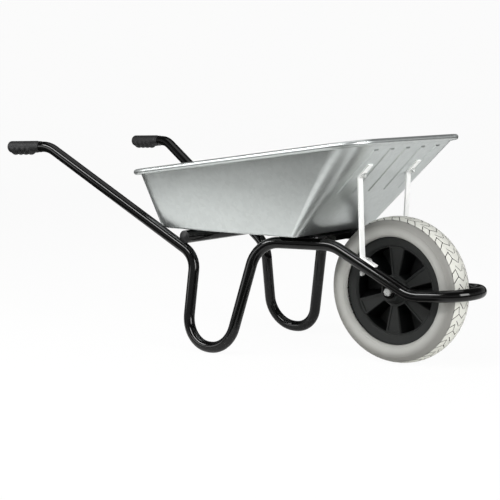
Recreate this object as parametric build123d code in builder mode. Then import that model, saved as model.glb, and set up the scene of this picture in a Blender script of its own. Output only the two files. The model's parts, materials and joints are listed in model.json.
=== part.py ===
"""Single-wheel wheelbarrow: bent tube frame, pressed tray, stays and a wheel on a bolted axle.

Millimetres. +X points forward to the wheel, +Y to the left, +Z up. The origin is on the ground,
under the middle of the whole length. Distances named BACK are measured backwards from the axle.
"""

import os
from math import atan2, cos, pi, radians, sin, tan

from build123d import *

os.makedirs("parts", exist_ok=True)

# Wheel
WHEEL_R = 200.0
TYRE_WIDTH = 101.0
TYRE_SHOULDER_R = 189.0
TYRE_SHOULDER_HALF = 44.0
TYRE_WALL = 7.0
TYRE_TREAD = 13.0
TYRE_BEAD = 13.0
RIM_R = 146.0
RIM_HALF = 32.0
RIM_RING_WIDTH = 22.0
RIM_RING_DISH = 2.0
RIM_LIP = 3.0
RIM_FLANGE_HEIGHT = 17.0
RIM_FLANGE_THICK = 4.0
RIM_BARREL_THICK = 9.0
WEB_WALL = 5.0
WEB_DRAFT = 2.0
SPOKE_COUNT = 6
SPOKE_FIRST = -93.0
SPOKE_HALF = 25.0
SPOKE_ROOT_WIDTH = 19.0
SPOKE_TIP_WIDTH = 46.0
SPOKE_EDGE = 4.5
SPOKE_RECESS = 2.5
HUB_ROOT_R = 38.0
HUB_END_R = 26.0

# Axle, bushes and brackets
AXLE_D = 12.0
AXLE_HEAD_FLATS = 19.0
AXLE_HEAD_HEIGHT = 7.5
AXLE_NUT_HEIGHT = 10.0
AXLE_TAIL = 5.0
SLEEVE_D = 20.0
BRACKET_GAP = 104.0
BRACKET_THICK = 4.0
BRACKET_WIDTH = 36.0
BRACKET_TAB = 15.0
BRACKET_TOE = 18.0
BRACKET_CORNER_R = 16.0
WASHER_THICK = 2.5
WASHER_D = 32.0
BUSH_D = 28.0
BUSH_DEPTH = 22.0
BUSH_FLANGE_D = 34.0
BUSH_FLANGE_THICK = 2.5

# Frame tube: the corners of its centre line before bending
TUBE_D = 32.0
TUBE_WALL = 1.8
GRIP_END_BACK = 1263.0
GRIP_END_HALF = 277.0
HANDLE_END_Z = 583.0
HANDLE_BEND_BACK = 1099.0
HANDLE_BEND_HALF = 263.0
HANDLE_BEND_Z = 585.0
REAR_BEND_BACK = 594.6
REAR_BEND_Z = 269.5
HEEL_BACK = 602.5
TOE_BACK = 443.5
FOOT_HALF = 202.0
LEG_SPLAY = 8.5
FRONT_BEND_BACK = 366.5
RUN_Z = 324.5
DROP_BACK = 135.0
DROP_HALF = 120.0
RISE_AHEAD = 79.0
NOSE_HALF = 78.0
RISE_Z = 199.3
NOSE_AHEAD = 235.5
NOSE_Z = 209.4
HANDLE_BEND_R = 80.0
REAR_BEND_R = 70.0
FOOT_BEND_R = 84.0
RUN_BEND_R = 88.0
NOSE_BEND_R = 77.0

# Grips
GRIP_LENGTH = 124.0
GRIP_WALL = 3.0
GRIP_END_WALL = 8.0
GRIP_COLLAR = 22.0
GRIP_COLLAR_STEP = 1.5
GRIP_RIDGES = 4
GRIP_RIDGE_PITCH = 17.0
GRIP_RIDGE_R = 6.5
GRIP_RIDGE_DROP = 5.5
GRIP_RIDGE_SWEEP = 140.0
GRIP_RIDGE_START = 12.0

# Members across the frame
CROSSBAR_D = 38.0
CROSSBAR_WALL = 2.0
CROSSBAR_LENGTH = 352.0
CROSSBAR_COPE = 4.0
PLUG_DEPTH = 18.0
PLUG_DOME = 4.0
PLATE_THICK = 3.0
PLATE_BACK = 288.0
PLATE_FRONT_BACK = 168.0
PLATE_OVERHANG = 6.0
PLATE_CUT_DEPTH = 24.0
PLATE_CUT_R = 30.0
PLATE_CUT_TUBE_GAP = 28.0
PLATE_LIP = 16.0
PLATE_CORNER_R = 8.0

# Tray: the wall outline at the floor and at the rim
SHEET = 1.5
SEAT_DEPTH = 2.5
SEAT_D = 44.0
SEAT_SIDE_ANGLE = 45.0
FLOOR_REAR_BACK = 749.0
FLOOR_FRONT_BACK = 214.0
FLOOR_REAR_HALF = 171.0
FLOOR_FRONT_HALF = 188.0
FLOOR_REAR_R = 60.0
FLOOR_FRONT_R = 16.0
FLOOR_EDGE_R = 8.0
RIM_REAR_BACK = 754.0
RIM_FRONT_AHEAD = 39.0
RIM_REAR_HALF = 253.0
RIM_FRONT_HALF = 265.0
RIM_REAR_Z = 505.0
RIM_FRONT_Z = 597.0
RIM_REAR_R = 65.0
RIM_FRONT_R = 80.0
RIM_LEDGE = 5.0
RIM_ROLL_R = 8.0
RIB_COUNT = 5
RIB_PITCH = 76.0
RIB_WIDTH = 26.0
RIB_LENGTH = 174.0
RIB_CORNER_R = 5.0
RIB_DEPTH = 2.5
RIB_TOP_GAP = 15.0
RIB_SIDE_ANGLE = 60.0
TRAY_BOLT_HALF = 70.0
FRONT_TRAY_BOLT_INSET = 38.0

# Stays
STAY_WIDTH = 20.0
STAY_THICK = 4.0
STAY_RIDGE = 4.0
STAY_HALF = 119.0
STAY_BOLT_Z = 521.0
STAY_TAB_UP = 34.0
STAY_TAB_DOWN = 14.0
STAY_FOOT_BACK = 42.0
STAY_FOOT_AHEAD = 26.0
STAY_FOOT_BEHIND = 20.0
STAY_TRIM = 100.0

# M8 fasteners
BOLT_D = 8.0
BOLT_HOLE_D = 8.5
BOLT_FLATS = 13.0
BOLT_HEAD_HEIGHT = 5.5
NUT_HEIGHT = 6.5
BOLT_TAIL = 4.0
CUP_HEAD_D = 20.0
CUP_HEAD_HEIGHT = 2.5
CUP_HEAD_TAPER = 35.0
FRAME_BOLT_INSET = 18.0
INSERT_D = 11.0
INSERT_DEPTH = 14.0

# Clearances
WELD_GAP = 0.05
RUNNING_GAP = 0.05
END_FLOAT = 0.4
PUSH_GAP = 0.05
HUB_BORE_GAP = 1.5

# Places worked out from the sizes above
AXLE_X = (GRIP_END_BACK - NOSE_AHEAD - TUBE_D / 2) / 2
TUBE_R = TUBE_D / 2
AXLE_Z = WHEEL_R
RUN_TOP = RUN_Z + TUBE_R
SEAT_Z = RUN_TOP + PLATE_THICK
FLOOR_Z = SEAT_Z + SEAT_DEPTH
SIDES = {"right": -1, "left": 1}


def back(distance, half, height):
    """A point measured backwards from the axle, out from the middle and up from the ground."""
    return Vector(AXLE_X - distance, half, height)


def mirrored(point, side):
    """The point as it lies on one side, given on the left."""
    return Vector(point.X, side * point.Y, point.Z)


def leg_half(height):
    """Half the distance between the splayed legs at a height."""
    return FOOT_HALF - tan(radians(LEG_SPLAY)) * (height - TUBE_R)


def along(start, end, x):
    """The point at a given X on the straight run between two corners."""
    return start + (end - start) * ((x - start.X) / (end.X - start.X))


# Frame tube corners on the left side, from the grip to the nose
grip_end = back(GRIP_END_BACK, GRIP_END_HALF, HANDLE_END_Z)
handle_bend = back(HANDLE_BEND_BACK, HANDLE_BEND_HALF, HANDLE_BEND_Z)
grip_axis = (handle_bend - grip_end).normalized()
tube_end = grip_end + grip_axis * GRIP_END_WALL
rear_bend = back(REAR_BEND_BACK, leg_half(REAR_BEND_Z), REAR_BEND_Z)
heel = back(HEEL_BACK, FOOT_HALF, TUBE_R)
toe = back(TOE_BACK, FOOT_HALF, TUBE_R)
front_bend = back(FRONT_BEND_BACK, leg_half(RUN_Z), RUN_Z)
drop_bend = back(DROP_BACK, DROP_HALF, RUN_Z)
rise_bend = back(-RISE_AHEAD, NOSE_HALF, RISE_Z)
nose_bend = back(-NOSE_AHEAD, NOSE_HALF, NOSE_Z)

left_corners = [
    tube_end, handle_bend, rear_bend, heel, toe, front_bend, drop_bend, rise_bend, nose_bend,
]
left_radii = [
    HANDLE_BEND_R, REAR_BEND_R, FOOT_BEND_R, FOOT_BEND_R, RUN_BEND_R, RUN_BEND_R, RUN_BEND_R,
    NOSE_BEND_R,
]
right_corners = [mirrored(corner, -1) for corner in reversed(left_corners)]

with BuildLine() as frame_path:
    FilletPolyline(*left_corners, *right_corners, radius=left_radii + left_radii[::-1])

path_start = Plane(origin=tube_end, z_dir=grip_axis)

# A solid rod a weld gap larger than the tube, used to shape whatever sits on the tube
with BuildPart() as tube_envelope:
    with BuildSketch(path_start):
        Circle(TUBE_R + WELD_GAP)
    sweep(path=frame_path.line)

# Places on the tube that other pieces share
crossbar_z = SEAT_Z - CROSSBAR_D / 2
handle_slope = (handle_bend.Z - rear_bend.Z) / (rear_bend.X - handle_bend.X)
cope_height = (TUBE_R + CROSSBAR_D / 2 - CROSSBAR_COPE) / cos(atan2(handle_slope, 1))
crossbar_x = rear_bend.X - (crossbar_z - cope_height - rear_bend.Z) / handle_slope
plate_rear_x = AXLE_X - PLATE_BACK
plate_front_x = AXLE_X - PLATE_FRONT_BACK
frame_bolt_x = plate_front_x - FRAME_BOLT_INSET
frame_bolt_half = along(front_bend, drop_bend, frame_bolt_x).Y
front_tray_bolt_x = AXLE_X - FLOOR_FRONT_BACK - FRONT_TRAY_BOLT_INSET
stay_foot = along(drop_bend, rise_bend, AXLE_X - STAY_FOOT_BACK)
tube_at_axle = along(drop_bend, rise_bend, AXLE_X)

# The flat front panel of the tray: up_slope lies in it, panel_out points away from the load
floor_front = Vector(AXLE_X - FLOOR_FRONT_BACK, 0, FLOOR_Z)
rim_front = Vector(AXLE_X + RIM_FRONT_AHEAD, 0, RIM_FRONT_Z)
up_slope = (rim_front - floor_front).normalized()
panel_out = Vector(up_slope.Z, 0, -up_slope.X)
stay_bolt = along(floor_front, rim_front, AXLE_X + RIM_FRONT_AHEAD) - up_slope * (
    (RIM_FRONT_Z - STAY_BOLT_Z) / up_slope.Z
)


def panel_plane(half, out=0.0):
    """Plane on the front panel at the stay bolt's height, its X across and its Y up the slope."""
    origin = stay_bolt + Vector(0, half, 0) + panel_out * out
    return Plane(origin=origin, x_dir=(0, 1, 0), z_dir=panel_out)


def foot_plane(side, out=0.0):
    """Plane on top of the dropping tube at a stay's foot, its X along the tube."""
    run = (mirrored(rise_bend, side) - mirrored(drop_bend, side)).normalized()
    across = Vector(0, 0, 1).cross(run).normalized()
    normal = run.cross(across)
    origin = mirrored(stay_foot, side) + normal * (TUBE_R + out)
    return Plane(origin=origin, x_dir=run, z_dir=normal)


def save(builder, node):
    """Name the finished piece and write it."""
    builder.part.label = node
    export_step(builder.part, f"parts/{node}.step", precision_mode=PrecisionMode.GREATEST)


# Frame tube
with BuildPart() as frame_tube:
    with BuildSketch(path_start):
        Circle(TUBE_R)
        Circle(TUBE_R - TUBE_WALL, mode=Mode.SUBTRACT)
    sweep(path=frame_path.line)
    for side in SIDES.values():
        with BuildSketch(foot_plane(side)):
            Circle(BOLT_HOLE_D / 2)
        extrude(amount=2 * TUBE_D, both=True, mode=Mode.SUBTRACT)
        with BuildSketch(Plane((frame_bolt_x, side * frame_bolt_half, RUN_Z))):
            Circle(INSERT_D / 2 + PUSH_GAP)
        extrude(amount=TUBE_D, mode=Mode.SUBTRACT)
save(frame_tube, "frame_tube")
tube_length = frame_path.wires()[0].length
tube_metal = pi * (TUBE_R**2 - (TUBE_R - TUBE_WALL) ** 2)
print(f"frame tube {tube_length:.0f} mm long, volume {frame_tube.part.volume:.0f}")
print(f"section times length {tube_length * tube_metal:.0f}")

# Grips
grip_r = TUBE_R + PUSH_GAP + GRIP_WALL
for name, side in SIDES.items():
    end = mirrored(grip_end, side)
    axis = mirrored(grip_axis, side)
    across = axis.cross(Vector(0, 0, 1)).normalized()
    grip_frame = Plane(origin=end, x_dir=axis, z_dir=across)
    with BuildPart() as grip:
        with BuildSketch(grip_frame):
            with BuildLine():
                Line((0, 0), (0, grip_r - GRIP_END_WALL))
                RadiusArc((0, grip_r - GRIP_END_WALL), (GRIP_END_WALL, grip_r), GRIP_END_WALL)
                Polyline(
                    (GRIP_END_WALL, grip_r),
                    (GRIP_LENGTH - GRIP_COLLAR, grip_r),
                    (GRIP_LENGTH - GRIP_COLLAR + GRIP_COLLAR_STEP, grip_r - GRIP_COLLAR_STEP),
                    (GRIP_LENGTH, grip_r - GRIP_COLLAR_STEP),
                    (GRIP_LENGTH, TUBE_R + PUSH_GAP),
                    (GRIP_END_WALL, TUBE_R + PUSH_GAP),
                    (GRIP_END_WALL, 0),
                    (0, 0),
                )
            make_face()
        revolve(axis=Axis(end, axis))
        # finger ridges bent round the lower side
        down = axis.cross(across)
        ridge_start = down.rotate(Axis((0, 0, 0), axis), -GRIP_RIDGE_SWEEP / 2)
        with BuildSketch(Plane(origin=end, x_dir=axis, z_dir=axis.cross(ridge_start))):
            for ridge in range(GRIP_RIDGES):
                ridge_reach = GRIP_END_WALL + GRIP_RIDGE_START + GRIP_RIDGE_PITCH * ridge
                with Locations((ridge_reach, grip_r + GRIP_RIDGE_DROP - GRIP_RIDGE_R)):
                    Circle(GRIP_RIDGE_R)
        revolve(axis=Axis(end, axis), revolution_arc=GRIP_RIDGE_SWEEP)
        with BuildSketch(Plane(origin=end + axis * GRIP_END_WALL, z_dir=axis)):
            Circle(TUBE_R + PUSH_GAP)
        extrude(amount=GRIP_LENGTH, mode=Mode.SUBTRACT)
    save(grip, f"{name}_grip")

# Rear crossbar, coped over the handle bends and drilled for the tray bolts
crossbar_plane = Plane(origin=(crossbar_x, 0, crossbar_z), z_dir=(0, 1, 0))
with BuildPart() as rear_crossbar:
    with BuildSketch(crossbar_plane):
        Circle(CROSSBAR_D / 2)
        Circle(CROSSBAR_D / 2 - CROSSBAR_WALL, mode=Mode.SUBTRACT)
    extrude(amount=CROSSBAR_LENGTH / 2, both=True)
    with BuildSketch(Plane((crossbar_x, 0, crossbar_z))):
        with Locations((0, TRAY_BOLT_HALF), (0, -TRAY_BOLT_HALF)):
            Circle(INSERT_D / 2 + PUSH_GAP)
    extrude(amount=CROSSBAR_D, mode=Mode.SUBTRACT)
    add(tube_envelope.part, mode=Mode.SUBTRACT)
save(rear_crossbar, "rear_crossbar")

# Domed plugs in the ends of the crossbar
plug_r = CROSSBAR_D / 2 - CROSSBAR_WALL - PUSH_GAP
plug_dome_r = ((CROSSBAR_D / 2) ** 2 + PLUG_DOME**2) / (2 * PLUG_DOME)
with BuildPart() as crossbar_plugs:
    for side in SIDES.values():
        seat = Vector(crossbar_x, side * CROSSBAR_LENGTH / 2, crossbar_z)
        with BuildSketch(Plane(origin=seat, x_dir=(0, side, 0), z_dir=(1, 0, 0))):
            with BuildLine():
                Polyline(
                    (0, CROSSBAR_D / 2),
                    (0, plug_r),
                    (-PLUG_DEPTH, plug_r),
                    (-PLUG_DEPTH, 0),
                    (PLUG_DOME, 0),
                )
                RadiusArc((PLUG_DOME, 0), (0, CROSSBAR_D / 2), -plug_dome_r)
            make_face()
        revolve(axis=Axis(seat, (0, 1, 0)))
    add(tube_envelope.part, mode=Mode.SUBTRACT)
save(crossbar_plugs, "crossbar_end_plugs")

# Front cross member: a plate on the two runs, cut back in front and turned down at its edges
plate_rear_half = along(front_bend, drop_bend, plate_rear_x).Y + TUBE_R + PLATE_OVERHANG
plate_front_half = along(front_bend, drop_bend, plate_front_x).Y + TUBE_R + PLATE_OVERHANG
cut_half = frame_bolt_half - PLATE_CUT_TUBE_GAP
cut_x = plate_front_x - PLATE_CUT_DEPTH
lip_length = 2 * (cut_half - PLATE_CUT_R)
with BuildPart() as front_cross_member:
    with BuildSketch(Plane.XY.offset(RUN_TOP)):
        with BuildLine():
            FilletPolyline(
                (plate_rear_x, -plate_rear_half),
                (plate_front_x, -plate_front_half),
                (plate_front_x, -cut_half),
                (cut_x, -cut_half + PLATE_CUT_DEPTH),
                (cut_x, cut_half - PLATE_CUT_DEPTH),
                (plate_front_x, cut_half),
                (plate_front_x, plate_front_half),
                (plate_rear_x, plate_rear_half),
                close=True,
                radius=3 * [PLATE_CORNER_R] + 2 * [PLATE_CUT_R] + 3 * [PLATE_CORNER_R],
            )
        make_face()
        with Locations((frame_bolt_x, frame_bolt_half), (frame_bolt_x, -frame_bolt_half)):
            Circle(BOLT_HOLE_D / 2, mode=Mode.SUBTRACT)
        with Locations((front_tray_bolt_x, TRAY_BOLT_HALF), (front_tray_bolt_x, -TRAY_BOLT_HALF)):
            Circle(BOLT_HOLE_D / 2, mode=Mode.SUBTRACT)
    extrude(amount=PLATE_THICK)
    for lip_x in (plate_rear_x + PLATE_THICK / 2, cut_x - PLATE_THICK / 2):
        with BuildSketch(Plane.XY.offset(RUN_TOP)):
            with Locations((lip_x, 0)):
                Rectangle(PLATE_THICK, lip_length)
        extrude(amount=-PLATE_LIP)
save(front_cross_member, "front_cross_member")

# Axle brackets: an upright tab beside the hub, bent out to the underside of the tube
tab_in = BRACKET_GAP / 2
for name, side in SIDES.items():
    bend_z = AXLE_Z + BRACKET_TAB
    reach = Vector(tube_at_axle.Y - tab_in, tube_at_axle.Z - bend_z).normalized()
    skew = Vector(-reach.Y, reach.X) * (BRACKET_THICK / 2)
    with BuildPart() as axle_bracket:
        with BuildSketch(Plane(origin=(AXLE_X, 0, 0), x_dir=(0, side, 0), z_dir=(side, 0, 0))):
            with BuildLine():
                Polyline(
                    (tab_in, AXLE_Z - BRACKET_TOE),
                    (tab_in + BRACKET_THICK, AXLE_Z - BRACKET_TOE),
                    (tab_in + BRACKET_THICK, bend_z),
                    (tube_at_axle.Y - skew.X, tube_at_axle.Z - skew.Y),
                    (tube_at_axle.Y + skew.X, tube_at_axle.Z + skew.Y),
                    (tab_in, bend_z + BRACKET_THICK),
                    close=True,
                )
            make_face()
        extrude(amount=BRACKET_WIDTH / 2, both=True)
        fillet(axle_bracket.edges().filter_by(Axis.Y).group_by(Axis.Z)[0], BRACKET_CORNER_R)
        with BuildSketch(Plane(origin=(AXLE_X, 0, AXLE_Z), z_dir=(0, side, 0))):
            Circle(AXLE_D / 2 + PUSH_GAP)
        extrude(amount=BRACKET_GAP, mode=Mode.SUBTRACT)
        add(tube_envelope.part, mode=Mode.SUBTRACT)
    save(axle_bracket, f"{name}_axle_bracket")


# Tray
def tray_outline(plane, rear, front, rear_half, front_half, rear_r, front_r):
    """Rounded four-sided outline of the tray on a plane, as a face."""
    with BuildSketch(plane) as outline:
        with BuildLine():
            FilletPolyline(
                (rear, -rear_half),
                (front, -front_half),
                (front, front_half),
                (rear, rear_half),
                close=True,
                radius=[rear_r, front_r, front_r, rear_r],
            )
        make_face()
    return outline.sketch


rim_rear = Vector(AXLE_X - RIM_REAR_BACK, 0, RIM_REAR_Z)
rim_run = (rim_front - rim_rear).normalized()
rim_length = (rim_front - rim_rear).length
rim_plane = Plane(origin=rim_rear, x_dir=rim_run, z_dir=rim_run.cross(Vector(0, 1, 0)))
floor_rear_x = AXLE_X - FLOOR_REAR_BACK

# How steep the walls stand, so that the sheet keeps its thickness all round
front_angle = atan2(RIM_FRONT_Z - FLOOR_Z, RIM_FRONT_AHEAD + FLOOR_FRONT_BACK)
rear_angle = atan2(RIM_REAR_Z - FLOOR_Z, RIM_REAR_BACK - FLOOR_REAR_BACK)
side_angle = atan2(
    (RIM_REAR_Z + RIM_FRONT_Z) / 2 - FLOOR_Z,
    (RIM_REAR_HALF + RIM_FRONT_HALF - FLOOR_REAR_HALF - FLOOR_FRONT_HALF) / 2,
)
rim_tilt = atan2(RIM_FRONT_Z - RIM_REAR_Z, RIM_FRONT_AHEAD + RIM_REAR_BACK)
floor_rear_in = SHEET * tan(rear_angle / 2)
floor_front_in = SHEET * tan(front_angle / 2)
floor_side_in = SHEET * tan(side_angle / 2)
rim_rear_in = SHEET / sin(rear_angle + rim_tilt)
rim_front_in = SHEET / sin(front_angle - rim_tilt)
rim_side_in = SHEET / sin(side_angle)

floor_outline = tray_outline(
    Plane.XY.offset(FLOOR_Z), floor_rear_x, floor_front.X,
    FLOOR_REAR_HALF, FLOOR_FRONT_HALF, FLOOR_REAR_R, FLOOR_FRONT_R,
)
rim_outline = tray_outline(
    rim_plane, 0, rim_length, RIM_REAR_HALF, RIM_FRONT_HALF, RIM_REAR_R, RIM_FRONT_R,
)
inner_floor_outline = tray_outline(
    Plane.XY.offset(FLOOR_Z + SHEET), floor_rear_x + floor_rear_in, floor_front.X - floor_front_in,
    FLOOR_REAR_HALF - floor_side_in, FLOOR_FRONT_HALF - floor_side_in,
    FLOOR_REAR_R - floor_side_in, FLOOR_FRONT_R - floor_side_in,
)
inner_rim_outline = tray_outline(
    rim_plane, rim_rear_in, rim_length - rim_front_in,
    RIM_REAR_HALF - rim_side_in, RIM_FRONT_HALF - rim_side_in,
    RIM_REAR_R - rim_side_in, RIM_FRONT_R - rim_side_in,
)
seat_places = [
    (x, half)
    for x in (crossbar_x, front_tray_bolt_x)
    for half in (TRAY_BOLT_HALF, -TRAY_BOLT_HALF)
]
rib_top = (rim_front - stay_bolt).length - RIB_TOP_GAP
rib_places = [
    ((rib - (RIB_COUNT - 1) / 2) * RIB_PITCH, rib_top - RIB_LENGTH / 2) for rib in range(RIB_COUNT)
]

with BuildPart() as load_space:
    loft([inner_floor_outline, inner_rim_outline], ruled=True)
    fillet(load_space.faces().sort_by(Axis.Z)[0].edges(), FLOOR_EDGE_R)

with BuildPart() as tray:
    loft([floor_outline, rim_outline], ruled=True)
    fillet(tray.faces().sort_by(Axis.Z)[0].edges(), FLOOR_EDGE_R + SHEET)
    add(load_space.part, mode=Mode.SUBTRACT)
    # pressed seats under the bolts in the floor
    with BuildSketch(Plane.XY.offset(FLOOR_Z)):
        with Locations(*seat_places):
            Circle(SEAT_D / 2)
    extrude(amount=-SEAT_DEPTH, taper=SEAT_SIDE_ANGLE)
    with BuildSketch(Plane.XY.offset(FLOOR_Z + SHEET)):
        with Locations(*seat_places):
            Circle(SEAT_D / 2)
    extrude(amount=-SEAT_DEPTH, taper=SEAT_SIDE_ANGLE, mode=Mode.SUBTRACT)
    with BuildSketch(Plane.XY.offset(FLOOR_Z)):
        with Locations(*seat_places):
            Circle(BOLT_HOLE_D / 2)
    extrude(amount=SEAT_D, both=True, mode=Mode.SUBTRACT)
    # pressed ribs on the front panel
    with BuildSketch(panel_plane(0)):
        with Locations(*rib_places):
            RectangleRounded(RIB_WIDTH, RIB_LENGTH, RIB_CORNER_R)
    extrude(amount=RIB_DEPTH, taper=RIB_SIDE_ANGLE)
    with BuildSketch(panel_plane(0, -SHEET)):
        with Locations(*rib_places):
            RectangleRounded(RIB_WIDTH, RIB_LENGTH, RIB_CORNER_R)
    extrude(amount=RIB_DEPTH, taper=RIB_SIDE_ANGLE, mode=Mode.SUBTRACT)
    for side in SIDES.values():
        with BuildSketch(panel_plane(side * STAY_HALF)):
            Circle(BOLT_HOLE_D / 2)
        extrude(amount=SEAT_D, both=True, mode=Mode.SUBTRACT)
    # rolled rim: a ledge turned out from the wall, curled down and back towards it
    rim_edge = rim_outline.face().outer_wire()
    roll_middle = RIM_LEDGE + RIM_ROLL_R
    rim_start = rim_edge @ 0
    rim_along = rim_edge % 0
    with BuildSketch(Plane(origin=rim_start, x_dir=rim_along.cross(rim_plane.z_dir), z_dir=rim_along)):
        with Locations((roll_middle, -RIM_ROLL_R)):
            Circle(RIM_ROLL_R)
            Circle(RIM_ROLL_R - SHEET, mode=Mode.SUBTRACT)
            Rectangle(RIM_ROLL_R, RIM_ROLL_R, align=(Align.MAX, Align.MIN), mode=Mode.SUBTRACT)
        with Locations((-SHEET, 0)):
            Rectangle(roll_middle + SHEET, SHEET, align=(Align.MIN, Align.MAX))
    sweep(path=rim_edge)
save(tray, "tray")


# Stays: a tab on the front panel, a ridged post and a foot on the tube
for name, side in SIDES.items():
    tab_plane = panel_plane(side * STAY_HALF)
    sole_plane = foot_plane(side)
    top_bend = tab_plane.origin - up_slope * STAY_TAB_DOWN + panel_out * (STAY_THICK / 2)
    low_bend = sole_plane.origin - sole_plane.x_dir * STAY_FOOT_BEHIND + sole_plane.z_dir * (STAY_THICK / 2)
    post_axis = (top_bend - low_bend).normalized()
    post_front = Vector(0, 1, 0).cross(post_axis).normalized()
    post_across = post_axis.cross(post_front)
    with BuildPart() as stay:
        with BuildSketch(tab_plane):
            with Locations((0, -STAY_TAB_DOWN)):
                Rectangle(STAY_WIDTH, STAY_TAB_DOWN + STAY_TAB_UP, align=(Align.CENTER, Align.MIN))
            Circle(BOLT_HOLE_D / 2, mode=Mode.SUBTRACT)
        extrude(amount=STAY_THICK)
        with BuildSketch(sole_plane):
            with Locations((-STAY_FOOT_BEHIND, 0)):
                Rectangle(
                    STAY_FOOT_BEHIND + STAY_FOOT_AHEAD, STAY_WIDTH, align=(Align.MIN, Align.CENTER)
                )
            Circle(BOLT_HOLE_D / 2, mode=Mode.SUBTRACT)
        extrude(amount=STAY_THICK)
        with BuildSketch(Plane(origin=low_bend, x_dir=post_across, z_dir=post_axis)):
            with BuildLine():
                Polyline(
                    (STAY_WIDTH / 2, STAY_THICK / 2),
                    (STAY_WIDTH / 2, -STAY_THICK / 2),
                    (-STAY_WIDTH / 2, -STAY_THICK / 2),
                    (-STAY_WIDTH / 2, STAY_THICK / 2),
                )
                ThreePointArc(
                    (-STAY_WIDTH / 2, STAY_THICK / 2),
                    (0, STAY_THICK / 2 + STAY_RIDGE),
                    (STAY_WIDTH / 2, STAY_THICK / 2),
                )
            make_face()
        extrude(amount=(top_bend - low_bend).length)
        for bend, across in ((top_bend, Vector(0, 1, 0)), (low_bend, sole_plane.y_dir)):
            with BuildSketch(Plane(origin=bend, z_dir=across)):
                Circle(STAY_THICK / 2)
            extrude(amount=STAY_WIDTH / 2, both=True)
        # trimmed flat behind the tab and to the tube under the foot
        with BuildSketch(tab_plane):
            Rectangle(STAY_TRIM, STAY_TRIM)
        extrude(amount=-STAY_WIDTH, mode=Mode.SUBTRACT)
        add(tube_envelope.part, mode=Mode.SUBTRACT)
    save(stay, f"{name}_stay")


# Fasteners
def hex_bolts(node, seats, flats, head, diameter, length):
    """Hexagon bolts whose heads stand on the seat planes and whose shanks go down through them."""
    with BuildPart() as bolts:
        for seat in seats:
            with BuildSketch(seat):
                RegularPolygon(flats / 2, 6, major_radius=False)
            extrude(amount=head)
            with BuildSketch(seat):
                Circle(diameter / 2)
            extrude(amount=-length)
    save(bolts, node)


def cup_bolts(node, seats, length):
    """Low round-headed bolts, heads on the seat planes."""
    with BuildPart() as bolts:
        for seat in seats:
            with BuildSketch(seat):
                Circle(CUP_HEAD_D / 2)
            extrude(amount=CUP_HEAD_HEIGHT, taper=CUP_HEAD_TAPER)
            with BuildSketch(seat):
                Circle(BOLT_D / 2)
            extrude(amount=-length)
    save(bolts, node)


def hex_nuts(node, seats, flats, height, diameter):
    """Hexagon nuts standing on the seat planes, bored a push gap over the bolt."""
    with BuildPart() as nuts:
        for seat in seats:
            with BuildSketch(seat):
                RegularPolygon(flats / 2, 6, major_radius=False)
                Circle(diameter / 2 + PUSH_GAP, mode=Mode.SUBTRACT)
            extrude(amount=height)
    save(nuts, node)


def inserts(node, mouths):
    """Round threaded inserts, their mouths level with the top of the tube they sit in."""
    with BuildPart() as sleeves:
        for mouth in mouths:
            with BuildSketch(mouth):
                Circle(INSERT_D / 2)
                Circle(BOLT_D / 2 + PUSH_GAP, mode=Mode.SUBTRACT)
            extrude(amount=INSERT_DEPTH)
    save(sleeves, node)


def up_planes(x, half, z):
    """Level planes facing up at the same place on both sides."""
    return [Plane((x, side * half, z)) for side in SIDES.values()]


def down_planes(x, half, z):
    """Level planes facing down at the same place on both sides."""
    return [Plane(origin=(x, side * half, z), z_dir=(0, 0, -1)) for side in SIDES.values()]


nut_and_tail = NUT_HEIGHT + BOLT_TAIL
head_z = SEAT_Z + SHEET
cup_bolts(
    "rear_tray_bolts", up_planes(crossbar_x, TRAY_BOLT_HALF, head_z), SHEET + INSERT_DEPTH + BOLT_TAIL
)
inserts("rear_tray_inserts", down_planes(crossbar_x, TRAY_BOLT_HALF, SEAT_Z))
cup_bolts(
    "front_tray_bolts", up_planes(front_tray_bolt_x, TRAY_BOLT_HALF, head_z),
    SHEET + PLATE_THICK + nut_and_tail,
)
hex_nuts(
    "front_tray_nuts", down_planes(front_tray_bolt_x, TRAY_BOLT_HALF, RUN_TOP),
    BOLT_FLATS, NUT_HEIGHT, BOLT_D,
)
hex_bolts(
    "cross_member_bolts", up_planes(frame_bolt_x, frame_bolt_half, SEAT_Z),
    BOLT_FLATS, BOLT_HEAD_HEIGHT, BOLT_D, PLATE_THICK + INSERT_DEPTH + BOLT_TAIL,
)
inserts("cross_member_inserts", down_planes(frame_bolt_x, frame_bolt_half, RUN_TOP))
cup_bolts(
    "stay_head_bolts",
    [
        Plane(origin=panel_plane(side * STAY_HALF, -SHEET).origin, x_dir=(0, 1, 0), z_dir=-panel_out)
        for side in SIDES.values()
    ],
    SHEET + STAY_THICK + nut_and_tail,
)
hex_nuts(
    "stay_head_nuts", [panel_plane(side * STAY_HALF, STAY_THICK) for side in SIDES.values()],
    BOLT_FLATS, NUT_HEIGHT, BOLT_D,
)
hex_bolts(
    "stay_foot_bolts", [foot_plane(side, STAY_THICK) for side in SIDES.values()],
    BOLT_FLATS, BOLT_HEAD_HEIGHT, BOLT_D, STAY_THICK + TUBE_D + nut_and_tail,
)
hex_nuts(
    "stay_foot_nuts",
    [
        Plane(origin=foot_plane(side, -TUBE_D).origin, x_dir=foot_plane(side).x_dir,
              z_dir=-foot_plane(side).z_dir)
        for side in SIDES.values()
    ],
    BOLT_FLATS, NUT_HEIGHT, BOLT_D,
)

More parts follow.
